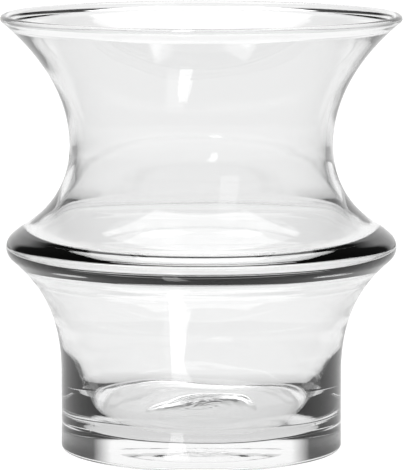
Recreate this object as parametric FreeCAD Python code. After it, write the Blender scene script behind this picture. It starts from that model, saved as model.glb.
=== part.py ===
"""A heavy blown vase in clear glass: one closed revolve of a double-flared profile.

Lengths are in millimetres, and angles are in degrees from the vertical. The axis is Z,
and the origin is the middle of the face that the vase stands on.
"""
import FreeCAD, Part
import math
import os

# The whole vase
height = 200.0

# Foot: a straight, thick drum, hollowed a little underneath where the glass was cut off
foot_radius = 64.4
foot_wall_height = 35.6
foot_edge_round = 2.1
punt_radius = 27.6
punt_depth = 2.0

# Ring: the wide fold half way up, with a short straight shoulder over it
ring_radius = 89.5
ring_height = 93.5
ring_round = 6.8
below_ring_angle = 49.3
above_ring_angle = 50.1
shoulder_straight = 3.6

# Waist and mouth, with a lip that swelled when it was melted smooth
waist_radius = 60.3
waist_height = 140.3
rim_radius = 91.6
rim_angle = 50.0
lip_thickness = 3.6
lip_swelling = 6.2

# Thickness of the glass, which gathers in the base and the ring and thins towards the mouth
base_thickness = 10.6
floor_radius = 44.6
bowl_height = 46.3
bowl_inset = 2.3
bowl_angle = 11.0
ring_glass = 11.5
chamber_height = 89.0
waist_wall = 3.4
mouth_wall = 2.5

# How far each curve holds the direction of its start and of its end, as shares of the line between
lower_flare_shares = (0.464, 0.298)
shoulder_shares = (0.054, 0.605)
upper_flare_shares = (0.319, 0.393)
bowl_shares = (0.160, 0.880)
inner_flare_shares = (0.520, 0.110)
inner_shoulder_shares = (0.200, 0.400)
inner_mouth_shares = (0.320, 0.360)
lip_swelling_shares = (0.400, 0.400)

# The curves are turned as conical strips, to keep the solid light: how far a strip may lie
# from its curve, and how much the curve may turn within it, in radians
strip_error = 0.25
strip_turn = 0.5
same_place = 0.001

upright = 0.0
level = 90.0  # outwards
downright = 180.0
full_turn = 360.0


def point(radius, z):
    """A point of the profile, in the plane through the axis."""
    return FreeCAD.Vector(radius, 0, z)


def heading(angle):
    """The unit vector at an angle from the vertical, leaning outwards."""
    turn = math.radians(angle)
    return point(math.sin(turn), math.cos(turn))


def strips(curve):
    """The ends of the straight runs that stand for a curve."""
    return curve.toShape().discretize(Angular=strip_turn, Curvature=strip_error)


def round_edge(centre, radius, start_angle, end_angle):
    """An arc about a centre, between two angles from the vertical."""
    middle_angle = (start_angle + end_angle) / 2
    angles = (start_angle, middle_angle, end_angle)
    return strips(Part.Arc(*[centre + heading(angle) * radius for angle in angles]))


def flare(start, start_angle, end, end_angle, shares):
    """A smooth curve that leaves its start and reaches its end at the given angles."""
    reach = (end - start).Length
    leave = start + heading(start_angle) * reach * shares[0]
    arrive = end - heading(end_angle) * reach * shares[1]
    curve = Part.BezierCurve()
    curve.setPoles([start, leave, arrive, end])
    return strips(curve)


def dish(middle, edge):
    """A shallow hollow that is level on the axis and comes down to its edge."""
    curve = Part.BezierCurve()
    curve.setPoles([middle, point(edge.x / 2, middle.z), edge])
    return strips(curve)


def closed_outline(points):
    """A closed outline through the points, each place where two runs meet kept once."""
    corners = points[:1]
    for corner in points[1:]:
        if not corner.isEqual(corners[-1], same_place):
            corners.append(corner)
    return Part.makePolygon(corners + corners[:1])


def vase_outline():
    """Half the section through the axis: up the outside from the punt, and down the inside."""
    facing_down = level + below_ring_angle
    facing_up = level - above_ring_angle
    facing_out = level + rim_angle
    facing_in = rim_angle - level

    foot_edge = point(foot_radius - foot_edge_round, foot_edge_round)
    foot_top = point(foot_radius, foot_wall_height)
    ring_centre = point(ring_radius - ring_round, ring_height)
    ring_below = ring_centre + heading(facing_down) * ring_round
    ring_above = ring_centre + heading(facing_up) * ring_round
    straight = heading(-above_ring_angle) * shoulder_straight
    waist = point(waist_radius, waist_height)
    lip_round = lip_thickness / 2
    lip_centre = point(rim_radius - lip_round, height - lip_round)
    lip_outside = lip_centre + heading(facing_out) * lip_round

    floor_edge = point(floor_radius, base_thickness)
    bowl_top = point(foot_radius - bowl_inset, bowl_height)
    chamber = point(ring_radius - ring_glass, chamber_height)
    inner_waist = point(waist_radius - waist_wall, waist_height)
    under_lip = lip_outside - heading(rim_angle) * lip_swelling - heading(facing_out) * mouth_wall
    lip_inside = lip_centre + heading(facing_in) * lip_round

    outside = [
        *dish(point(0, punt_depth), point(punt_radius, 0)),
        *round_edge(foot_edge, foot_edge_round, downright, level),
        *flare(foot_top, upright, ring_below, below_ring_angle, lower_flare_shares),
        *round_edge(ring_centre, ring_round, facing_down, facing_up),
        *flare(ring_above + straight, -above_ring_angle, waist, upright, shoulder_shares),
        *flare(waist, upright, lip_outside, rim_angle, upper_flare_shares),
        *round_edge(lip_centre, lip_round, facing_out, facing_in),
    ]
    inside = [
        point(0, base_thickness),
        *flare(floor_edge, level, bowl_top, bowl_angle, bowl_shares),
        *flare(bowl_top, bowl_angle, chamber, upright, inner_flare_shares),
        *flare(chamber, upright, inner_waist, upright, inner_shoulder_shares),
        *flare(inner_waist, upright, under_lip, rim_angle, inner_mouth_shares),
        *flare(under_lip, rim_angle, lip_inside, rim_angle, lip_swelling_shares),
    ]
    return closed_outline(outside + inside[::-1])


def glass_vase():
    """The whole vase: its outline turned once round the axis."""
    section = Part.Face(vase_outline())
    return section.revolve(point(0, 0), heading(upright), full_turn)


os.makedirs("parts", exist_ok=True)
vase = glass_vase()
vase.exportStep("parts/glass_vase.step")
box = vase.optimalBoundingBox(False)
print(f"glass_vase: {box.XLength:.1f} x {box.YLength:.1f} x {box.ZLength:.1f} mm,")
print(f"  valid {vase.isValid()}, glass {vase.Volume / 1e3:.0f} cm3, faces {len(vase.Faces)}")
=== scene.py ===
import math

import bpy
import numpy as np
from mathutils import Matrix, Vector


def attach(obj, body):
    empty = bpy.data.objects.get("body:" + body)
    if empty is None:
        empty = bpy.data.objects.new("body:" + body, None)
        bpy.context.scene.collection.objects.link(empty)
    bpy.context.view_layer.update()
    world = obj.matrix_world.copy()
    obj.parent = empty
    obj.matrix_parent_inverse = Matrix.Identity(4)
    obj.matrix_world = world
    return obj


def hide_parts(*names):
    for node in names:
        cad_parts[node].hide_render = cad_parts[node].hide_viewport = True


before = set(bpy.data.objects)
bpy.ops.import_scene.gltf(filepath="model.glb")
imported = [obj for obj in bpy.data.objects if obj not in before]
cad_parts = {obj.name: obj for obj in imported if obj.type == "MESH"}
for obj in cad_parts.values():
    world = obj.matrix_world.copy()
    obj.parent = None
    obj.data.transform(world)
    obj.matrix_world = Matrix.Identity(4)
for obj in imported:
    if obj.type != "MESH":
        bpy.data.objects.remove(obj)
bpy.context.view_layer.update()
print("frame loaded")

millimetre = 0.001
halfTurn = 180.0
white = (1.0, 1.0, 1.0, 1.0)
photoWidth, photoHeight = 403, 470  # pixels


class Wire:
    # one output socket of a node, so that shader maths reads as plain sums
    def __init__(self, sheet, socket):
        self.sheet = sheet
        self.socket = socket

    def maths(self, operation, *values, clamp=False):
        return self.sheet.add("Math", {"operation": operation, "use_clamp": clamp}, dict(enumerate(values)))

    def out(self, name):
        # another output of the same node
        return Wire(self.sheet, self.socket.node.outputs[name])

    def clamped(self):
        return self.maths("ADD", self, 0.0, clamp=True)

    def __add__(self, other):
        return self.maths("ADD", self, other)

    def __radd__(self, other):
        return self.maths("ADD", other, self)

    def __sub__(self, other):
        return self.maths("SUBTRACT", self, other)

    def __rsub__(self, other):
        return self.maths("SUBTRACT", other, self)

    def __mul__(self, other):
        return self.maths("MULTIPLY", self, other)

    def __rmul__(self, other):
        return self.maths("MULTIPLY", other, self)

    def __truediv__(self, other):
        return self.maths("DIVIDE", self, other)

    def __rtruediv__(self, other):
        return self.maths("DIVIDE", other, self)

    def __abs__(self):
        return self.maths("ABSOLUTE", self)


class Sheet:
    # the nodes of one material or world
    def __init__(self, tree):
        self.tree = tree
        tree.nodes.clear()

    def add(self, kind, settings=None, sockets=None, out=0):
        node = self.tree.nodes.new("ShaderNode" + kind)
        for name, value in (settings or {}).items():
            setattr(node, name, value)
        for name, value in (sockets or {}).items():
            if isinstance(value, Wire):
                self.tree.links.new(value.socket, node.inputs[name])
            else:
                node.inputs[name].default_value = value
        return Wire(self, node.outputs[out]) if node.outputs else node

    def mixed(self, share, under, over):
        return self.add("MixShader", {}, {0: share, 1: under, 2: over})

    def glow(self, strength):
        return self.add("Emission", {}, {"Color": white, "Strength": strength})


def within(value, middle, half, soft):
    # 1 inside a band, 0 outside it, and a half at its edges, which are soft
    return ((half - abs(value - middle)) / soft + 0.5).clamped()


# The outline of the glass, in millimetres, with angles in degrees from the vertical
vase = {
    "height": 199.9,  # a little under the 200 of the CAD, so that the lip stays inside its box
    "footRadius": 64.4,
    "footWallHeight": 35.6,
    "footEdgeRound": 2.1,
    "puntRadius": 27.6,
    "puntDepth": 2.0,
    "ringRadius": 89.5,
    "ringHeight": 93.5,
    "ringRound": 6.8,
    "belowRingAngle": 49.3,
    "aboveRingAngle": 50.1,
    "shoulderStraight": 3.6,
    "waistRadius": 60.3,
    "waistHeight": 140.3,
    "rimRadius": 91.6,
    "rimAngle": 50.0,
    "lipThickness": 3.6,
    "lipSwelling": 5.2,
    "baseThickness": 10.6,
    "floorRadius": 44.6,
    "bowlAngle": 11.0,
    "waistWall": 3.4,
    "mouthWall": 1.6,
    # how far each curve holds the direction of its ends, as shares of the line between them
    "lowerFlareShares": (0.464, 0.298),
    "shoulderShares": (0.054, 0.605),
    "upperFlareShares": (0.319, 0.393),
    "bowlShares": (0.156, 0.879),
    "innerMouthShares": (0.320, 0.360),
    "lipSwellingShares": (0.400, 0.400),
}
# Heights from the top of the bowl to the waist, each with the thickness of the wall there, square
# to the outside. The ring was blown out hollow: thin at its crest, thicker on the slopes beside it
walls = [
    (46.3, 2.05),
    (55.0, 1.9),
    (62.0, 1.9),
    (69.0, 2.9),
    (76.5, 3.9),
    (83.4, 5.3),
    (87.5, 3.9),
    (93.5, 2.5),
    (99.0, 3.9),
    (103.0, 5.3),
    (109.0, 4.8),
    (117.0, 3.6),
    (127.0, 3.4),
    (vase["waistHeight"], vase["waistWall"]),
]
# How finely the outline is divided, and how many steps go round the axis
mesh = {
    "stepsAround": 228,
    "stepLength": 1.5,
    "leastSteps": 6,
    "arcSteps": 16,
    "samePlace": 0.001,
}
upright, level, downright = 0.0, 90.0, 180.0


def heading(angle):
    turn = math.radians(angle)
    return Vector((math.sin(turn), math.cos(turn)))


def stepsFor(length):
    return max(mesh["leastSteps"], math.ceil(length / mesh["stepLength"]))


def straight(start, end):
    count = stepsFor((end - start).length)
    return [start.lerp(end, step / count) for step in range(count + 1)]


def roundEdge(centre, radius, startAngle, endAngle):
    count = max(mesh["arcSteps"], stepsFor(abs(math.radians(endAngle - startAngle)) * radius))
    turn = (endAngle - startAngle) / count
    return [centre + radius * heading(startAngle + step * turn) for step in range(count + 1)]


def flare(start, startAngle, end, endAngle, shares):
    # a smooth curve that leaves its start and reaches its end at the given angles
    reach = (end - start).length
    leave = start + heading(startAngle) * reach * shares[0]
    arrive = end - heading(endAngle) * reach * shares[1]
    count = stepsFor(reach)
    points = []
    for step in range(count + 1):
        t = step / count
        u = 1 - t
        points.append(u ** 3 * start + 3 * u * u * t * leave + 3 * u * t * t * arrive + t ** 3 * end)
    return points


def dish(middle, edge):
    # a shallow hollow that is level on the axis and comes down to its edge
    count = stepsFor(edge.x)
    shape = [step / count for step in range(count + 1)]
    return [Vector((edge.x * t, middle.y + (edge.y - middle.y) * t * t)) for t in shape]


def joined(runs):
    # one run of points, with each place where two runs meet kept once
    points = []
    for run in runs:
        for point in run:
            if not points or (point - points[-1]).length > mesh["samePlace"]:
                points.append(point)
    return points


def smoothThrough(places, values, at):
    # a smooth curve through the values, with no overshoot past them
    places, values = np.array(places), np.array(values)
    gap = np.diff(places)
    slope = np.diff(values) / gap
    lean = np.concatenate([[slope[0]], (slope[:-1] + slope[1:]) / 2, [slope[-1]]])
    index = np.clip(np.searchsorted(places, at) - 1, 0, len(gap) - 1)
    t = (at - places[index]) / gap[index]
    u = 1 - t
    start, end, width = values[index], values[index + 1], gap[index]
    return (start * (1 + 2 * t) * u * u + end * (3 - 2 * t) * t * t
            + width * (lean[index] * t * u * u - lean[index + 1] * u * t * t))


def innerSide(outside):
    # the inside of the bowl, ring and waist follows the outside at the thickness of the wall
    heights, thicknesses = zip(*walls)
    points = []
    for before, point, after in zip(outside, outside[1:], outside[2:]):
        if heights[0] <= point.y <= heights[-1]:
            along = (after - before).normalized()
            wall = float(smoothThrough(heights, thicknesses, point.y))
            points.append(point + wall * Vector((-along.y, along.x)))
    return points


def vaseOutline():
    # the outside from the middle of the underside up to the lip, and the inside from the lip down
    v = vase
    facingDown = level + v["belowRingAngle"]
    facingUp = level - v["aboveRingAngle"]
    facingOut = level + v["rimAngle"]
    facingIn = v["rimAngle"] - level

    puntTop = Vector((0, v["puntDepth"]))
    puntEdge = Vector((v["puntRadius"], 0))
    footEdge = Vector((v["footRadius"] - v["footEdgeRound"], v["footEdgeRound"]))
    footBelow = Vector((footEdge.x, 0))
    footSide = Vector((v["footRadius"], v["footEdgeRound"]))
    footTop = Vector((v["footRadius"], v["footWallHeight"]))
    ringCentre = Vector((v["ringRadius"] - v["ringRound"], v["ringHeight"]))
    ringBelow = ringCentre + v["ringRound"] * heading(facingDown)
    ringAbove = ringCentre + v["ringRound"] * heading(facingUp)
    slope = v["shoulderStraight"] * heading(-v["aboveRingAngle"])
    waist = Vector((v["waistRadius"], v["waistHeight"]))
    lipRound = v["lipThickness"] / 2
    lipCentre = Vector((v["rimRadius"] - lipRound, v["height"] - lipRound))
    lipOutside = lipCentre + lipRound * heading(facingOut)
    lipInside = lipCentre + lipRound * heading(facingIn)

    outside = joined([
        dish(puntTop, puntEdge),
        straight(puntEdge, footBelow),
        roundEdge(footEdge, v["footEdgeRound"], downright, level),
        straight(footSide, footTop),
        flare(footTop, upright, ringBelow, v["belowRingAngle"], v["lowerFlareShares"]),
        roundEdge(ringCentre, v["ringRound"], facingDown, facingUp),
        straight(ringAbove, ringAbove + slope),
        flare(ringAbove + slope, -v["aboveRingAngle"], waist, upright, v["shoulderShares"]),
        flare(waist, upright, lipOutside, v["rimAngle"], v["upperFlareShares"]),
        roundEdge(lipCentre, lipRound, facingOut, facingIn),
    ])

    floorMiddle = Vector((0, v["baseThickness"]))
    floorEdge = Vector((v["floorRadius"], v["baseThickness"]))
    innerWall = innerSide(outside)
    innerWaist = Vector((v["waistRadius"] - v["waistWall"], v["waistHeight"]))
    underLip = lipOutside - v["lipSwelling"] * heading(v["rimAngle"]) - v["mouthWall"] * heading(facingOut)
    inside = joined([
        straight(floorMiddle, floorEdge),
        flare(floorEdge, level, innerWall[0], v["bowlAngle"], v["bowlShares"]),
        innerWall[:-1],
        flare(innerWaist, upright, underLip, v["rimAngle"], v["innerMouthShares"]),
        flare(underLip, v["rimAngle"], lipInside, v["rimAngle"], v["lipSwellingShares"]),
    ])
    return outside, inside[:-1][::-1]


# How far the blown glass strays from a true round, in millimetres
blown = {
    "randomSeed": 11,
    "waves": 18,
    "mostTurns": 7,  # waves round the vase
    "shortest": 14.0,  # height of the shortest wave
    "spread": 4.0,  # how many times as high the longest wave is
    "outer": 0.02,
    "inner": 0.05,
    "base": 0.40,  # more on the inside of the foot
    "baseTop": 44.0,
    "floorShare": 0.15,  # what is left of the waves on the floor of the bowl
    "still": 6.0,  # the waves die out this near to the middle
}
# Rings that turning left on the floor and, fainter, under the foot
turned = {
    "depth": 0.035,
    "spacings": (3.7, 5.9),
    "underneathShare": 0.5,
}
# The rough scar in the middle of the underside
scar = {
    "depth": 0.30,
    "radius": 14.0,
    "waves": 8,
    "turns": (3, 23),  # fewest and most round the vase
    "grain": 2.6,
    "finestShare": 0.5,
}


def waviness(turn, height):
    # a sum of slanting waves, about 1 at its highest
    dice = np.random.default_rng(blown["randomSeed"])
    total = np.zeros(np.broadcast(turn, height).shape)
    for wave in range(blown["waves"]):
        around = dice.integers(-blown["mostTurns"], blown["mostTurns"] + 1)
        rise = 2 * math.pi / (blown["shortest"] * dice.uniform(1.0, blown["spread"]))
        total += np.sin(around * turn + rise * height + dice.uniform(0, 2 * math.pi))
    return total / (2 * math.sqrt(blown["waves"]))


def scarGrain(turn, far):
    dice = np.random.default_rng(blown["randomSeed"])
    total = np.zeros(np.broadcast(turn, far).shape)
    for wave in range(scar["waves"]):
        around = dice.integers(*scar["turns"])
        outwards = dice.uniform(scar["finestShare"], 1) * 2 * math.pi / scar["grain"]
        total += np.sin(around * turn + outwards * far + dice.uniform(0, 2 * math.pi))
    return total * 2 / scar["waves"]


def strayed(far, height, turn, isInside):
    # how far the skin stands off its outline
    inBase = np.clip((blown["baseTop"] - height) / blown["still"], 0, 1)
    most = np.where(isInside, blown["inner"] + (blown["base"] - blown["inner"]) * inBase, blown["outer"])
    waves = waviness(turn, height) * most * np.clip(far / blown["still"], 0, 1)
    marks = turned["depth"] * sum(np.sin(2 * math.pi * far / spacing) for spacing in turned["spacings"])

    onFloor = (far < vase["floorRadius"]) & (height < vase["baseThickness"] + blown["still"])
    inside = np.where(onFloor, waves * blown["floorShare"] + marks, waves)

    # the outside only strays inwards, and stays flat where it stands
    atFoot = height < vase["footEdgeRound"]
    outside = np.where(atFoot, 0, np.minimum(waves - blown["outer"], 0))
    inScar = np.clip((scar["radius"] - far) / blown["still"], 0, 1) * far / scar["radius"]
    hollow = scarGrain(turn, far) * scar["depth"] * inScar + marks * turned["underneathShare"]
    underneath = atFoot & (far < vase["puntRadius"])
    outside = np.where(underneath, np.minimum(hollow, height), outside)
    return np.where(isInside, inside, outside)


def lathe(outline, firstInside):
    # a closed skin round the axis; the outline starts and ends on the axis
    around = mesh["stepsAround"]
    turn = (np.arange(around) * (2 * math.pi / around))[None, :]
    flat = np.array([[point.x, point.y] for point in outline])
    along = np.gradient(flat, axis=0)
    along /= np.linalg.norm(along, axis=1)[:, None]
    along, flat = along[1:-1], flat[1:-1]
    far, height = flat[:, :1], flat[:, 1:]
    isInside = (np.arange(len(flat)) + 1 >= firstInside)[:, None]
    lift = strayed(far, height, turn, isInside)
    radius = (far + along[:, 1:] * lift) * millimetre
    z = (height - along[:, :1] * lift) * millimetre
    skin = np.stack([radius * np.cos(turn), radius * np.sin(turn), z], axis=2).reshape(-1, 3)
    ends = [(0, 0, outline[0].y * millimetre), (0, 0, outline[-1].y * millimetre)]
    vertices = np.concatenate([skin, ends]).tolist()

    below, above = len(skin), len(skin) + 1
    after = np.roll(np.arange(around), -1).tolist()
    last = (len(flat) - 1) * around
    faces = []
    for low in range(0, last, around):
        high = low + around
        for here, there in enumerate(after):
            faces.append((low + here, low + there, high + there, high + here))
    for here, there in enumerate(after):
        faces.append((below, there, here))
        faces.append((above, last + here, last + there))
    return vertices, faces


# Two seeds of air in the base, in millimetres, at places read from the photograph
seeds = {
    "places": [(-46.0, -29.0, 13.0), (48.0, -26.0, 14.5)],
    "radius": 0.55,
    "rings": 12,
}


def seed(place, firstVertex):
    # a small hollow ball, whose faces look into it
    count = seeds["rings"]
    around = 2 * count
    middle = np.array(place)
    vertices, faces = [], []
    for ring in range(1, count):
        tilt = math.pi * ring / count
        for step in range(around):
            turn = math.pi * step / count
            ball = (math.sin(tilt) * math.cos(turn), math.sin(tilt) * math.sin(turn), math.cos(tilt))
            vertices.append((middle + seeds["radius"] * np.array(ball)) * millimetre)
    top = firstVertex + len(vertices)
    for end in (seeds["radius"], -seeds["radius"]):
        vertices.append((middle + (0, 0, end)) * millimetre)
    last = firstVertex + (count - 2) * around
    for low in range(firstVertex, last, around):
        high = low + around
        for step in range(around):
            there = (step + 1) % around
            faces.append((low + step, low + there, high + there, high + step))
    for step in range(around):
        there = (step + 1) % around
        faces.append((top, firstVertex + there, firstVertex + step))
        faces.append((top + 1, last + step, last + there))
    return np.array(vertices).tolist(), faces


glass = {
    "tint": (0.975, 0.977, 0.977, 1.0),
    "bend": 1.51,
    "groundBelow": 0.0004,  # the foot was ground flat up to here, in metres
    "groundRoughness": 0.08,
    # fine cords drawn out round the vase
    "cordScale": 30.0,
    "cordStretch": (1.0, 1.0, 5.0),
    "cordDetail": 2.0,
    "cordDepth": 0.02,
    "cordHeight": 0.0004,
}


def clearGlass():
    material = bpy.data.materials.new("clearGlass")
    material.use_nodes = True
    sheet = Sheet(material.node_tree)
    place = sheet.add("TexCoord", out="Object")
    height = sheet.add("SeparateXYZ", {}, {0: place}).out("Z")
    stretched = sheet.add("VectorMath", {"operation": "MULTIPLY"}, {0: place, 1: glass["cordStretch"]})
    cords = sheet.add("TexNoise", {}, {
        "Vector": stretched,
        "Scale": glass["cordScale"],
        "Detail": glass["cordDetail"],
    })
    relief = sheet.add("Bump", {}, {
        "Height": cords,
        "Strength": glass["cordDepth"],
        "Distance": glass["cordHeight"],
    })
    ground = height.maths("LESS_THAN", height, glass["groundBelow"])
    skin = sheet.add("BsdfPrincipled", {}, {
        "Base Color": glass["tint"],
        "Roughness": ground * glass["groundRoughness"],
        "Normal": relief,
        "IOR": glass["bend"],
        "Transmission Weight": 1.0,
    })
    sheet.add("OutputMaterial", {}, {"Surface": skin})
    return material


def makeVase():
    outside, inside = vaseOutline()
    vertices, faces = lathe(outside + inside, len(outside))
    for place in seeds["places"]:
        moreVertices, moreFaces = seed(place, len(vertices))
        vertices += moreVertices
        faces += moreFaces
    skin = bpy.data.meshes.new("vaseBody")
    skin.from_pydata(vertices, [], faces)
    skin.shade_smooth()
    skin.update()
    skin.materials.append(clearGlass())
    body = bpy.data.objects.new("vaseBody", skin)
    bpy.context.scene.collection.objects.link(body)
    return body


body = makeVase()
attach(body, "root")
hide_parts("glass_vase")
print("vase made:", len(body.data.polygons), "faces")

# The camera stands where the outline of the photograph puts it, in metres and degrees
view = {
    "distance": 1.8618,
    "elevation": 7.239,
    "focalPixels": 4061.0,
    "axisPixel": (200.8, 231.1),  # where the middle of the vase's height falls in the photograph
    "sensorWidth": 36.0,
    "middleHeight": 0.1,
    "farthest": 100.0,
}


def placeCamera():
    data = bpy.data.cameras.new("camera")
    data.sensor_fit = "AUTO"
    data.sensor_width = view["sensorWidth"]
    data.lens = view["focalPixels"] * view["sensorWidth"] / photoHeight
    data.shift_x = ((photoWidth - 1) / 2 - view["axisPixel"][0]) / photoHeight
    data.shift_y = (view["axisPixel"][1] - (photoHeight - 1) / 2) / photoHeight
    data.clip_end = view["farthest"]
    camera = bpy.data.objects.new("camera", data)
    bpy.context.scene.collection.objects.link(camera)
    tilt = math.radians(view["elevation"])
    place = Vector((0, -math.cos(tilt), math.sin(tilt))) * view["distance"]
    camera.location = place + Vector((0, 0, view["middleHeight"]))
    camera.rotation_euler = (math.pi / 2 - tilt, 0, 0)
    bpy.context.scene.camera = camera


# The surroundings. Azimuth 0 is straight behind the vase, seen from the camera, and grows to the right
studio = {
    "room": 0.06,  # brightness of the unlit room
    "backdrop": {
        "azimuth": 0.0,
        "elevation": 0.0,
        "halfWidth": 34.0,
        "halfHeight": 52.0,
        "soft": 10.0,
        "light": 1.0,
    },
    "lamp": {
        "azimuth": 155.0,
        "elevation": 29.0,
        "halfWidth": 8.4,
        "halfHeight": 17.0,
        "soft": 1.5,
        "light": 0.8,
    },
    # the soft box overhead: how far it reaches to the sides and behind, over its height above the vase
    "overhead": {
        "across": 0.60,
        "middle": -0.05,
        "deep": 0.50,
        "soft": 0.04,
        "lowest": 0.05,
        "light": 2.4,
    },
}


def lightWorld():
    world = bpy.data.worlds.new("studio")
    bpy.context.scene.world = world
    world.use_nodes = True
    sheet = Sheet(world.node_tree)
    x = sheet.add("SeparateXYZ", {}, {0: sheet.add("TexCoord", out="Generated")})
    y, z = x.out("Y"), x.out("Z")
    azimuth = x.maths("ARCTAN2", x, y) * math.degrees(1)
    elevation = z.maths("ARCSINE", z) * math.degrees(1)
    seen = sheet.add("LightPath", out="Is Camera Ray")
    bounces = seen.out("Glossy Depth")
    mirrored = bounces.maths("MINIMUM", bounces, 1.0)

    def light(strength):
        return sheet.add("Background", {}, {"Color": white, "Strength": strength})

    def panel(place):
        tall = within(elevation, place["elevation"], place["halfHeight"], place["soft"])
        away = azimuth - place["azimuth"]
        away = away.maths("WRAP", away, halfTurn, -halfTurn)
        return tall, within(away, 0.0, place["halfWidth"], place["soft"])

    backdrop, lamp, overhead = studio["backdrop"], studio["lamp"], studio["overhead"]
    tall, wide = panel(backdrop)
    # light that only went through glass finds the backdrop on every side
    wide = 1 - (1 - wide) * mirrored
    shader = sheet.mixed(tall * wide, light(studio["room"]), light(backdrop["light"]))
    tall, wide = panel(lamp)
    shader = sheet.mixed(tall * wide, shader, light(lamp["light"]))
    above = z.maths("MAXIMUM", z, overhead["lowest"])
    wide = within(x / above, 0.0, overhead["across"], overhead["soft"])
    deep = within(y / above, overhead["middle"], overhead["deep"], overhead["soft"])
    high = z.maths("GREATER_THAN", z, overhead["lowest"])
    shader = sheet.mixed(wide * deep * high, shader, light(overhead["light"]))
    shader = sheet.mixed(seen, shader, light(1.0))
    sheet.add("OutputWorld", {}, {"Surface": shader})


# The table top, just under the foot, in metres
table = {
    "radius": 3.0,
    "gap": 0.00002,
    "steps": 96,
    "colour": (0.80, 0.80, 0.80, 1.0),
    "glow": 0.95,  # what the glass finds there
    "shade": 0.70,  # the ring's soft shadow round the foot
    "shadeRadius": 0.082,
    "shadeSoft": 0.03,
    "far": 0.40,  # what the glass finds where the table runs out of the light
    "litAcross": 0.30,  # how far the lit part reaches to the sides and to the front
    "litFront": 0.25,
    "litSoft": 0.45,
    "shadowShare": 0.30,  # how much of the real shadow the camera sees
    "open": 1.28,  # makes the table white where nothing shades it
}
# A narrow patch of light on the table that only shows mirrored in the glass, in metres and degrees
patch = {
    "start": (-0.0114, -0.065),  # at the foot of the vase, on the side towards the camera
    "azimuth": 199.8,  # which way it runs, as the azimuths of the studio
    "middle": 0.064,  # how far along it its middle is
    "halfLong": 0.036,
    "softLong": 0.01,
    "halfWide": 0.011,
    "softWide": 0.003,
    "light": 4.2,
}


# The table top. What the glass finds on it is painted: a painted shadow round the foot, painted shade where
# the lit part ends, and a painted patch of light
def tableWithPaintedLight():
    material = bpy.data.materials.new("tableTop")
    material.use_nodes = True
    sheet = Sheet(material.node_tree)
    place = sheet.add("NewGeometry", out="Position")
    x = sheet.add("SeparateXYZ", {}, {0: place})
    y = x.out("Y")
    seen = sheet.add("LightPath", out="Is Camera Ray")
    mirrored = seen.out("Is Glossy Ray")

    away = sheet.add("VectorMath", {"operation": "LENGTH"}, {0: place}, out="Value")
    shaded = within(away, 0.0, table["shadeRadius"], table["shadeSoft"])
    across = within(x, 0.0, table["litAcross"] + table["litSoft"] / 2, table["litSoft"])
    front = ((y + table["litFront"]) / table["litSoft"] + 1.0).clamped()
    # painted shadow of the ring round the foot, then painted shade on the table beyond its lit part
    paintedTable = sheet.mixed(shaded, sheet.glow(table["glow"]), sheet.glow(table["shade"]))
    paintedTable = sheet.mixed(across * front, sheet.glow(table["far"]), paintedTable)

    towards = heading(patch["azimuth"])
    ahead, aside = x - patch["start"][0], y - patch["start"][1]
    along = ahead * towards.x + aside * towards.y
    beside = ahead * towards.y - aside * towards.x
    inPatch = within(along, patch["middle"], patch["halfLong"], patch["softLong"])
    inPatch = inPatch * within(beside, 0.0, patch["halfWide"], patch["softWide"])
    paintedTable = sheet.mixed(inPatch * mirrored, paintedTable, sheet.glow(patch["light"]))

    # glass finds the table with its painted shadow, painted shade and painted patch of light, the camera a
    # white one with a faint shadow, and the rest a plain one
    lit = sheet.add("BsdfDiffuse", {}, {"Color": table["colour"]})
    byGlass = mirrored.maths("MAXIMUM", seen.out("Is Transmission Ray"), mirrored)
    plain = sheet.mixed(table["shadowShare"], sheet.glow(table["open"]), lit)
    shader = sheet.mixed(seen, sheet.mixed(byGlass, lit, paintedTable), plain)
    sheet.add("OutputMaterial", {}, {"Surface": shader})
    return material


def makeTable():
    edge = []
    for step in range(table["steps"]):
        turn = 2 * math.pi * step / table["steps"]
        edge.append((table["radius"] * math.cos(turn), table["radius"] * math.sin(turn), -table["gap"]))
    top = bpy.data.meshes.new("tableTop")
    top.from_pydata(edge, [], [tuple(range(len(edge)))])
    top.update()
    top.materials.append(tableWithPaintedLight())
    piece = bpy.data.objects.new("tableTop", top)
    bpy.context.scene.collection.objects.link(piece)


placeCamera()
lightWorld()
makeTable()
bpy.context.scene.view_settings.view_transform = "Standard"
print("studio made")
